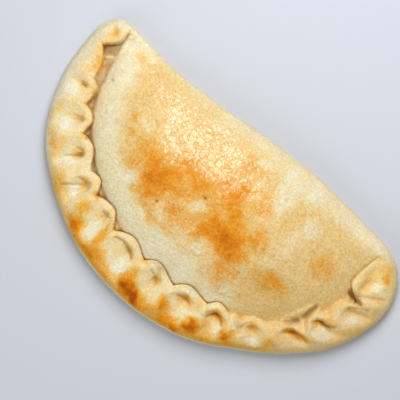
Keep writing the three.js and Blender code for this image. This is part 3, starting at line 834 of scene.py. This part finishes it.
def eased(toast, limit, share):
    return toast - share * np.maximum(0, toast - limit)


def belly_share(inset, lip, crimped, edge):
    """1 on the belly, and 0 on the rim."""
    start, full = edge
    return smooth(inset, lip + start, lip + full) * crimped + (1 - crimped)


def film_at(x, y, strayed):
    """How oiled the belly's skin is: 1 over its middle, and 0 along its flanks."""
    reach = np.interp(x, FILM_REACH[:, 0], FILM_REACH[:, 1])
    start, end = (reach + edge for edge in FILM_EDGE)
    return (1 - smooth(outward_share(*strayed), start, end)) * (1 - FILM_THIN * smooth(y, *FILM_THIN_FROM))


def flank_streaks(station, inset):
    """Fine wrinkles that run along the outline, from about -1 to 1."""
    stretched = np.column_stack([station / STREAK_STRETCH, inset, np.zeros(len(inset))])
    return gradient_noise(stretched, STREAK_CELL, 21)


def belly_toast(x, strayed, film, streaks, noises):
    coarse, middle, fine, grain = noises
    rough = 1 + sum(share * noise for share, noise in zip(BELLY_ROUGH, (middle, fine, grain)))
    toast = BELLY_TOAST + BELLY_COARSE * coarse + FILM_TOAST * film
    toast = toast + BELLY_RIGHT_TOAST * smooth(x, *BELLY_RIGHT_FROM)
    toast = eased(toast + patch_sum(*strayed, BELLY_PATCHES) * rough, *BELLY_EASED)
    # paler along the streaks: partly pale dough, partly painted highlight
    return toast - FLANK_STREAK_PALE_AND_HIGHLIGHT * streaks * (1 - film)


def rim_toast(x, strayed, station, inset, lip, noises):
    coarse, middle, fine, _ = noises
    # partly browning, partly painted shade along the bottom of the wall
    wall = WALL_BOTTOM_BROWNING_AND_SHADE * band(station, WALL_BOTTOM_STATIONS)
    wall = wall + WALL_LEFT * (1 - smooth(station, *WALL_LEFT_STATIONS))
    toast = RIM_TOAST + RIM_UNEVEN * (coarse + middle) + RIM_RIGHT_TOAST * smooth(x, *RIM_RIGHT_FROM)
    toast = toast + wall * (1 - smooth(inset, *WALL_REACH))
    rough = 1 + RIM_ROUGH[0] * middle + RIM_ROUGH[1] * fine
    toast = eased(toast + patch_sum(*strayed, RIM_PATCHES) * rough, *RIM_EASED)
    skirt = band(station, SKIRT_STATIONS)
    line, line_inset, line_width = SKIRT_LINE
    toast = toast + skirt * line * bell(inset - line_inset, line_width)
    toast = mix(toast, SKIRT_TOAST, skirt * (inset < SKIRT_INSET) * SKIRT_SHARE)
    # painted warm shade: more golden in and round the pits
    in_pit = pit_share(station, lip - inset) + pit_share(station, lip - inset, PIT_HALO)
    return toast + PIT_WARM_SHADE * in_pit * seam_share(station)


def looks_at(points, station, inset, lip, crimped):
    """Browning, from 0.1 for pale dough to 0.75 for dark brown, then the oiled film and its gloss."""
    x, y = points[:, 0], points[:, 1]
    noises = [gradient_noise(points, cell, seed) for seed, cell in enumerate(NOISE_CELLS, 1)]
    strayed = (x + layered(points, PATCH_STRAY, 5), y + layered(points, PATCH_STRAY, 7))
    belly = belly_share(inset, lip, crimped, BELLY_EDGE)
    film = film_at(x, y, strayed)
    on_top = belly_toast(x, strayed, film, flank_streaks(station, inset), noises)
    on_rim = rim_toast(x, strayed, station, inset, lip, noises)
    toast = mix(on_rim, on_top, belly) + FINE_TOAST * noises[2] + GRAIN_TOAST * noises[3]
    gloss = film * (1 - FILM_GONE * smooth(toast, *BAKED_DRY)) + patch_sum(*strayed, GLOSS_PATCHES)
    return np.clip(toast, *TOAST_LIMITS), film * belly, np.clip(gloss, 0, 1) * belly


def shade_at(points, station, inset, lip):
    """Painted shade: how much darker the dough is drawn in its deep places, in its pinholes and on the
    right of the rim.
    """
    x, y = points[:, 0], points[:, 1]
    back = lip - inset
    patchy = np.clip(1 + layered(points, SHADE_PATCHY, 31), *SHADE_PATCHY_LIMITS)
    # painted shade: the groove behind the lip, the slot along it, the pits and the narrow creases
    gap = smooth(outward_share(x, y), *GAP_SHARE) * smooth(-back, *GAP_PAST_LIP)
    gap = gap * (1 - smooth(station, *GAP_STATIONS)) * (GAP_SHADE[0] + GAP_SHADE[1] * patchy)
    slot = SLOT_SHADE * bell(-back - SLOT_AT, SLOT_SHADE_WIDTH) * (1 - band(station, SLOT_GAP)) * patchy
    pits = PIT_SHADE * pit_share(station, back) * (inset > 1)
    total = seam_share(station) * np.maximum(np.maximum(gap, slot), pits)
    fine = crease_depth(x, y, FINE_CREASES)
    total = total * (1 - RAISED_SHADE * np.clip(-fine, 0, 1))
    narrow = crease_depth(x, y, [crease for crease in CREASES if crease[1] < NARROW_CREASE])
    creases = np.clip(narrow / FULL_CREASE[0] + fine / FULL_CREASE[1], 0, 1)
    total = np.maximum(total, CREASE_SHADE * creases)
    # painted shade on the right of the rim
    right = smooth(x, *RIGHT_SHADE_FROM_X) * (1 - smooth(y, *RIGHT_SHADE_FROM_Y))
    right = right * smooth(back, *RIGHT_SHADE_BACK)
    total = np.maximum(total, RIGHT_SHADE * right)
    # painted shade inside the pinholes
    for pin_x, pin_y, radius in PINHOLES:
        total = total + PIN_SHADE * bell(np.hypot(x - pin_x, y - pin_y), radius)
    return np.clip(total, 0, SHADE_LIMIT)


# ---- Relief ----
def ridged(points, layers, first_seed):
    """The sum of noises that rise to sharp crests, given as cell and height."""
    total = np.zeros(len(points))
    for seed, (cell, height) in enumerate(layers, first_seed):
        total += height * (1 - 2 * np.abs(gradient_noise(points, cell, seed)))
    return total


def relief(points, station, inset, lip, crimped, film):
    """How far each vertex stands out along its normal, beyond the form that the solid has."""
    belly = belly_share(inset, lip, crimped, RELIEF_BELLY_EDGE)
    lumps = layered(points, LUMPS, 11) + layered(points, GRAIN, 13)
    cell, distance = WRINKLE_STRAY
    bent = points + distance * np.stack([gradient_noise(points, cell, seed) for seed in (15, 16, 17)], -1)
    wrinkles = ridged(bent, WRINKLES, 18) * film
    cell, height = PULLS
    pulled = np.column_stack([station, inset / PULL_STRETCH, np.zeros(len(inset))])
    pulls = height * gradient_noise(pulled, cell, 20) * (1 - belly) * smooth(inset, *PULLS_FROM)
    streaks = STREAK_HEIGHT * flank_streaks(station, inset) * belly * (1 - film) * crimped
    return smooth(points[:, 2], *RELIEF_UP_FROM) * (lumps + wrinkles + pulls + streaks)


def vertex_normals(points, faces):
    """Unit normals of the vertices. Each face counts by its area."""
    normals = np.zeros(points.shape)
    for sides in (3, 4):
        corners = np.array([face for face in faces if len(face) == sides]).T
        across = points[corners[2]] - points[corners[0]]
        across = np.cross(across, points[corners[-1]] - points[corners[1]])
        for corner in corners:
            np.add.at(normals, corner, across)
    return normals / np.maximum(np.linalg.norm(normals, axis=1, keepdims=True), 1e-9)


# ---- Material ----
def srgb(*screen):
    """A colour given as it looks on a screen, 0 to 255, as the four linear values that a socket takes."""
    shares = [value / 255 for value in screen]
    linear = [share / 12.92 if share <= 0.04045 else ((share + 0.055) / 1.055) ** 2.4 for share in shares]
    return (*linear, 1)


# Browning, and the colour of the dough there.
TOAST_COLOURS = [
    (0.02, (242, 240, 216)),
    (0.13, (241, 229, 188)),
    (0.24, (238, 209, 144)),
    (0.38, (235, 184, 90)),
    (0.54, (231, 157, 42)),
    (0.62, (225, 139, 24)),
    (0.70, (208, 116, 12)),
    (0.80, (172, 84, 10)),
]
DULL_DOUGH = (224, 213, 172)
OLIVE_DOUGH = (212, 204, 150)
FLOUR = (250, 247, 232)
# Painted shade: the tint multiplied in over the deep places.
PAINTED_SHADE_TINT = (0.60, 0.44, 0.28, 1)
# Painted shade: the darker tint multiplied in over the pinholes.
PINHOLE_SHADE_TINT = (0.35, 0.25, 0.18, 1)
PIN_FROM = (1.0, 1.5)
FLOOR_COLOUR = (208, 212, 219)

# Noises in the dough: size in millimetres, detail and roughness.
TOAST_MOTTLE = (1.7, 3, 0.6)
TOAST_SPECKLE = (0.8, 2, 0.55)
DULL_CLOUDS = (4.5, 4, 0.6)
OLIVE_CLOUDS = (1.6, 4, 0.7)
FLOUR_DUST = (0.9, 3, 0.6)
VALUE_GRAIN = (1.3, 3, 0.7)
ROUGH_CLOUDS = (5, 3, 0.55)
BUMP_FINE = (1.1, 4, 0.6)
BUMP_COARSE = (3.2, 3, 0.55)
COAT_SWELL = (3.4, 1, 0.55)
SKIN_SWAY = (3.5, 2, 0.5)

# How strong each is, and over which values of the noise or the browning it comes in. Four values say
# its strength at either end, too.
MOTTLE_TOAST = 0.08
SPECKLE_TOAST = 0.05
MOTTLED_FROM = (0.08, 0.30, 0.45, 1.0)
PALE_UP_TO = (0.10, 0.27, 1.0, 0.0)
DULL_SHARE = 0.35
DULL_FROM = (0.44, 0.66)
OLIVE_SHARE = 0.25
OLIVE_FROM = (0.50, 0.64)
FLOUR_SHARE = 0.7
FLOUR_FROM = (0.56, 0.72)
VALUE_LEVEL = 1.02
VALUE_FROM = (0.2, 0.5, 0.7, 1.0)
ROUGHNESS = 0.50
ROUGHNESS_UNEVEN = 0.14
BUMP_COARSE_SHARE = 0.9
BUMP_DISTANCE = 0.5

# The oiled skin's crinkles: cells with fine lines between them.
CELL_SIZE = 3.6
CELL_SWAY = 0.0065  # in metres
LINE_FROM = (0.0, 0.11)
LINE_TOAST = 0.06
# Painted shade: how much darker the crinkles' lines are drawn.
LINE_SHADE = 0.09
LINE_COAT = 0.4
CELL_HEIGHT = 0.06
SWELL_HEIGHT = 0.17
COAT_BUMP_DISTANCE = 1.0


class Graph:
    """One material's nodes. A value is a number, a tuple or another node's output."""

    def __init__(self, name):
        self.material = bpy.data.materials.new(name)
        self.material.use_nodes = True
        self.shader = self.material.node_tree.nodes["Principled BSDF"]
        self.place = self.add("ShaderNodeTexCoord", {}).outputs["Object"]

    def feed(self, socket, value):
        if isinstance(value, bpy.types.NodeSocket):
            self.material.node_tree.links.new(value, socket)
        else:
            socket.default_value = value

    def add(self, kind, values, **settings):
        """A new node, with its settings and the values of its sockets."""
        node = self.material.node_tree.nodes.new(kind)
        for name, setting in settings.items():
            setattr(node, name, setting)
        for key, value in values.items():
            self.feed(node.inputs[key], value)
        return node

    def calculate(self, operation, first, second):
        return self.add("ShaderNodeMath", {0: first, 1: second}, operation=operation).outputs[0]

    def plus(self, first, second):
        return self.calculate("ADD", first, second)

    def minus(self, first, second):
        return self.calculate("SUBTRACT", first, second)

    def times(self, first, second):
        return self.calculate("MULTIPLY", first, second)

    def blend(self, kind, share, first, second):
        values = {0: share, 6: first, 7: second}
        return self.add("ShaderNodeMix", values, data_type="RGBA", blend_type=kind).outputs[2]

    def between(self, value, start, end, low=0.0, high=1.0):
        values = {"Value": value, "From Min": start, "From Max": end, "To Min": low, "To Max": high}
        return self.add("ShaderNodeMapRange", values, interpolation_type="SMOOTHSTEP").outputs["Result"]

    def attribute(self, name):
        return self.add("ShaderNodeAttribute", {}, attribute_name=name).outputs["Fac"]

    def noise(self, size, detail, roughness, output="Fac"):
        values = {"Vector": self.place, "Scale": 1000 / size, "Detail": detail, "Roughness": roughness}
        return self.add("ShaderNodeTexNoise", values).outputs[output]

    def centred_noise(self, noise):
        return self.minus(self.noise(*noise), 0.5)

    def ramp(self, value, colours):
        node = self.add("ShaderNodeValToRGB", {"Fac": value})
        elements = node.color_ramp.elements
        while len(elements) < len(colours):
            elements.new(0.5)
        for element, (position, colour) in zip(elements, colours):
            element.position = position
            element.color = srgb(*colour)
        return node.outputs["Color"]

    def grey(self, value):
        return self.add("ShaderNodeCombineColor", {0: value, 1: value, 2: value}).outputs["Color"]

    def bump(self, height, distance):
        values = {"Height": height, "Strength": 1.0, "Distance": distance / 1000}
        return self.add("ShaderNodeBump", values).outputs["Normal"]

    def finish(self, values):
        for name, value in values.items():
            self.feed(self.shader.inputs[name], value)
        return self.material


def skin_distance(graph):
    """How far a place lies from the nearest line between the oiled skin's crinkled cells."""
    values = {0: graph.noise(*SKIN_SWAY, output="Color"), 1: (CELL_SWAY,) * 3, 2: graph.place}
    swayed = graph.add("ShaderNodeVectorMath", values, operation="MULTIPLY_ADD").outputs["Vector"]
    values = {"Vector": swayed, "Scale": 1000 / CELL_SIZE}
    return graph.add("ShaderNodeTexVoronoi", values, feature="DISTANCE_TO_EDGE").outputs["Distance"]


def dough_colour(graph, toast, shade, lines):
    """The colour of the browning, then what lies on pale dough, then uneven value with painted shade in the
    crinkles' lines, then the painted shade of the deep places, the right of the rim and the pinholes.
    """
    mottle = graph.times(graph.centred_noise(TOAST_MOTTLE), MOTTLE_TOAST)
    speckle = graph.times(graph.centred_noise(TOAST_SPECKLE), SPECKLE_TOAST)
    grained = graph.times(graph.plus(mottle, speckle), graph.between(toast, *MOTTLED_FROM))
    browned = graph.plus(graph.plus(toast, grained), graph.times(lines, LINE_TOAST))
    colour = graph.ramp(browned, TOAST_COLOURS)
    pale = graph.between(toast, *PALE_UP_TO)
    for clouds, start, share, over in (
        (DULL_CLOUDS, DULL_FROM, DULL_SHARE, DULL_DOUGH),
        (OLIVE_CLOUDS, OLIVE_FROM, OLIVE_SHARE, OLIVE_DOUGH),
        (FLOUR_DUST, FLOUR_FROM, FLOUR_SHARE, FLOUR),
    ):
        there = graph.times(graph.between(graph.noise(*clouds), *start), pale)
        colour = graph.blend("MIX", graph.times(there, share), colour, srgb(*over))
    uneven = graph.times(graph.centred_noise(VALUE_GRAIN), graph.between(toast, *VALUE_FROM))
    # painted shade in the crinkles' lines
    value = graph.minus(graph.plus(VALUE_LEVEL, uneven), graph.times(lines, LINE_SHADE))
    colour = graph.blend("MULTIPLY", 1.0, colour, graph.grey(value))
    # painted shade of the deep places and the right of the rim
    colour = graph.blend("MULTIPLY", shade, colour, PAINTED_SHADE_TINT)
    # painted shade, deeper, in the pinholes
    return graph.blend("MULTIPLY", graph.between(shade, *PIN_FROM), colour, PINHOLE_SHADE_TINT)


def dough_material():
    graph = Graph("baked_dough")
    toast, gloss, shade = (graph.attribute(name) for name in ("toast", "gloss", "shade"))
    distance = skin_distance(graph)
    cells = graph.between(distance, *LINE_FROM)
    lines = graph.times(graph.minus(1.0, cells), gloss)
    uneven = graph.times(graph.noise(*ROUGH_CLOUDS), ROUGHNESS_UNEVEN)
    height = graph.plus(graph.noise(*BUMP_FINE), graph.times(graph.noise(*BUMP_COARSE), BUMP_COARSE_SHARE))
    swell = graph.times(graph.noise(*COAT_SWELL), SWELL_HEIGHT)
    crinkle = graph.plus(graph.times(cells, CELL_HEIGHT), swell)
    return graph.finish(
        {
            "Base Color": dough_colour(graph, toast, shade, lines),
            "Roughness": graph.plus(ROUGHNESS, uneven),
            "Normal": graph.bump(height, BUMP_DISTANCE),
            "Coat Weight": graph.times(gloss, graph.between(distance, *LINE_FROM, LINE_COAT, 1.0)),
            "Coat Roughness": 0.24,
            "Coat IOR": 1.58,
            "Coat Normal": graph.bump(crinkle, COAT_BUMP_DISTANCE),
            "Subsurface Weight": 0.3,
            "Subsurface Radius": (1.0, 0.7, 0.4),
            "Subsurface Scale": 0.003,
            "Specular IOR Level": 0.06,
        }
    )


def floor_material():
    material = bpy.data.materials.new("pale_floor")
    material.use_nodes = True
    shader = material.node_tree.nodes["Principled BSDF"]
    shader.inputs["Base Color"].default_value = srgb(*FLOOR_COLOUR)
    shader.inputs["Roughness"].default_value = 0.85
    shader.inputs["Specular IOR Level"].default_value = 0.2
    return material


# ---- Crust ----
def fit_to_box(points):
    """Fits the points, which it moves by a hair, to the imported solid's own box in metres."""
    low, high = (np.array(corner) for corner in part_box("crust"))
    own_low, own_high = points.min(0), points.max(0)
    return low + (points - own_low) / (own_high - own_low) * (high - low)


def mesh_from(points, faces, attributes):
    mesh = bpy.data.meshes.new("crust_skin")
    mesh.from_pydata(points.tolist(), [], faces)
    mesh.validate()
    mesh.shade_smooth()
    for name, values in attributes.items():
        attribute = mesh.attributes.new(name, "FLOAT", "POINT")
        attribute.data.foreach_set("value", np.asarray(values, np.float32))
    return mesh


def new_object(name, data):
    made = bpy.data.objects.new(name, data)
    bpy.context.collection.objects.link(made)
    return made


def build_crust():
    points, faces, station, inset = build_surface()
    _, lip = lip_at(station)
    crimped = crimped_share(station)
    toast, film, gloss = looks_at(points, station, inset, lip, crimped)
    shade = shade_at(points, station, inset, lip)
    out = relief(points, station, inset, lip, crimped, film)
    points = points + vertex_normals(points, faces) * out[:, None]
    points[:, 2] = np.maximum(points[:, 2], 0)
    mesh = mesh_from(fit_to_box(points), faces, {"toast": toast, "gloss": gloss, "shade": shade})
    mesh.materials.append(dough_material())
    crust = new_object("crust_skin", mesh)
    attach(crust, "root")
    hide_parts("crust")


# ---- Camera, floor and light, in metres ----
CAMERA_TURN = math.radians(42)
CAMERA_AT = (-0.0066, 0.0090)
CAMERA_HEIGHT = 1.0
FRAME_WIDTH = 0.2344  # of the area that fills the picture, at a height of FRAME_LEVEL
FRAME_LEVEL = 0.012
SENSOR = 36.0  # in millimetres
FLOOR_HALF = 2.0
FLOOR_BELOW = 0.0001
LIGHTS_AIM_HEIGHT = 0.02
NEAR_WHITE = (1.0, 0.99, 0.98)
# The way to each light from the middle of the picture, as right, up and towards the camera, then its
# distance, size, power and colour.
LIGHTS = {
    "softbox": ((0.10, 0.30, 0.50), 0.62, (0.30, 0.46), 3.4, (1.0, 0.985, 1.02)),
    "right_fill": ((0.50, -0.50, 0.60), 0.90, (0.80, 0.80), 0.55, NEAR_WHITE),
    "left_fill": ((-0.50, -0.50, 0.60), 0.90, (0.80, 0.80), 3.3, NEAR_WHITE),
    "window": ((0.60, 0.60, 0.50), 0.90, (0.70, 0.70), 0.55, NEAR_WHITE),
}
ROOM_COLOUR = (0.93, 0.96, 1.0, 1)
ROOM_STRENGTH = 0.14


def add_camera():
    data = bpy.data.cameras.new("camera")
    data.sensor_width = SENSOR
    data.lens = SENSOR * (CAMERA_HEIGHT - FRAME_LEVEL) / FRAME_WIDTH
    camera = new_object("camera", data)
    place = Matrix.Translation((*CAMERA_AT, CAMERA_HEIGHT))
    camera.matrix_world = place @ Matrix.Rotation(CAMERA_TURN, 4, "Z")
    bpy.context.scene.camera = camera


def add_floor():
    mesh = bpy.data.meshes.new("floor")
    sides = ((-1, -1), (1, -1), (1, 1), (-1, 1))
    corners = [(x * FLOOR_HALF, y * FLOOR_HALF, 0) for x, y in sides]
    mesh.from_pydata(corners, [], [(0, 1, 2, 3)])
    mesh.materials.append(floor_material())
    floor = new_object("floor", mesh)
    floor.location.z = -FLOOR_BELOW


def add_light(name, place, distance, size, power, colour):
    data = bpy.data.lights.new(name, "AREA")
    data.shape = "RECTANGLE"
    data.size, data.size_y = size
    data.energy = power
    data.color = colour
    light = new_object(name, data)
    direction = (Matrix.Rotation(CAMERA_TURN, 3, "Z") @ Vector(place)).normalized()
    light.location = direction * distance + Vector((*CAMERA_AT, LIGHTS_AIM_HEIGHT))
    light.rotation_mode = "QUATERNION"
    light.rotation_quaternion = direction.to_track_quat("Z", "Y")


def add_lights():
    for name, settings in LIGHTS.items():
        add_light(name, *settings)
    world = bpy.data.worlds.new("room")
    world.use_nodes = True
    background = world.node_tree.nodes["Background"]
    background.inputs["Color"].default_value = ROOM_COLOUR
    background.inputs["Strength"].default_value = ROOM_STRENGTH
    bpy.context.scene.world = world
    bpy.context.scene.view_settings.view_transform = "Standard"


build_crust()
add_camera()
add_floor()
add_lights()
